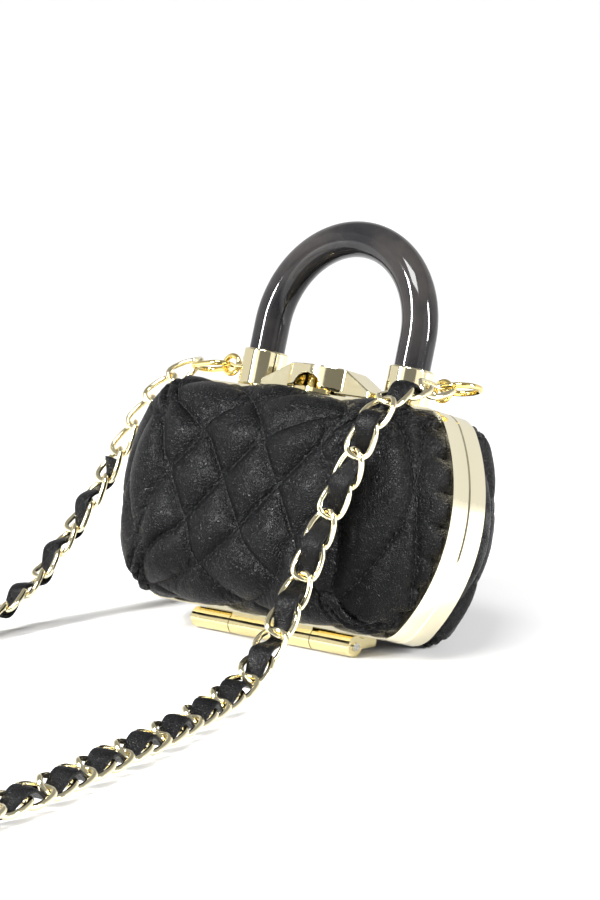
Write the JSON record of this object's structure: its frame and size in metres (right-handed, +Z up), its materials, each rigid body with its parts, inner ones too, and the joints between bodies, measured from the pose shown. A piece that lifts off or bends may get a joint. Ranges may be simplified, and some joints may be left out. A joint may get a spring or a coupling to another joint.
{
  "type": "crossbody purse",
  "caption": "Small hinged frame purse with quilted padded halves, an arched carrying handle, a lever clasp and a leather-woven chain shoulder strap.",
  "frame": {"origin": "middle of the standing bag, on the surface it rests on (strap left out)", "axes": "+X along the hinge to the bag's right as seen from the front, +Y to the back, +Z up from the resting surface; the bag leans back on its hinge barrel and the back half's lower edge"},
  "size_m": [0.1587, 0.3279, 0.1212],
  "materials": {
    "polished_gold": "polished pale gold plating",
    "handle_resin": "high-gloss black cast resin",
    "quilted_leather": "black pebbled coated leather, diamond quilted",
    "shell_board": "moulded board",
    "lining_fabric": "woven black lining",
    "steel": "plain steel",
    "strap_leather": "chain links woven with a black leather ribbon",
    "tie_leather": "black leather keeper"
  },
  "bodies": {
    "front_half": {"front_frame": "polished_gold", "front_cover": "quilted_leather", "front_shell": "shell_board", "front_lining": "lining_fabric", "hinge_centre_knuckle": "polished_gold", "hinge_pin": "polished_gold", "handle": "handle_resin", "left_ferrule": "polished_gold", "right_ferrule": "polished_gold", "left_screw": "steel", "right_screw": "steel", "left_eye": "polished_gold", "right_eye": "polished_gold", "catch_plate": "polished_gold", "catch_post": "polished_gold", "chain_front_strand": "strap_leather", "chain_back_strand": "strap_leather", "chain_coil": "strap_leather", "coil_tie": "tie_leather"},
    "back_half": {"back_frame": "polished_gold", "back_cover": "quilted_leather", "back_shell": "shell_board", "back_lining": "lining_fabric", "hinge_right_knuckle": "polished_gold", "hinge_left_knuckle": "polished_gold", "left_ear": "polished_gold", "right_ear": "polished_gold", "clasp_pin": "steel", "clasp_spring": "steel"},
    "clasp": {"clasp_lever": "polished_gold"},
    "left_ring": {"left_ring": "polished_gold"},
    "right_ring": {"right_ring": "polished_gold"}
  },
  "joints": [
    {"name": "case_hinge", "type": "hinge", "parent": "front_half", "child": "back_half", "pos_m": [0, -0.01466, 0.0031], "axis": [-1, 0, 0], "range_deg": [0, 90]},
    {"name": "clasp_lift", "type": "hinge", "parent": "back_half", "child": "clasp", "pos_m": [0, 0.01537, 0.07112], "axis": [-1, 0, 0], "range_deg": [0, 65], "stiffness_Nm_per_rad": 0.01, "springref_deg": -20.05},
    {"name": "left_ring_swing", "type": "hinge", "parent": "front_half", "child": "left_ring", "pos_m": [-0.042, 0.0123, 0.07565], "axis": [0, 0.9537, -0.3006], "range_deg": [-8, 12]},
    {"name": "right_ring_swing", "type": "hinge", "parent": "front_half", "child": "right_ring", "pos_m": [0.042, 0.0123, 0.07565], "axis": [0, -0.9537, 0.3006], "range_deg": [-10, 12]}
  ]
}
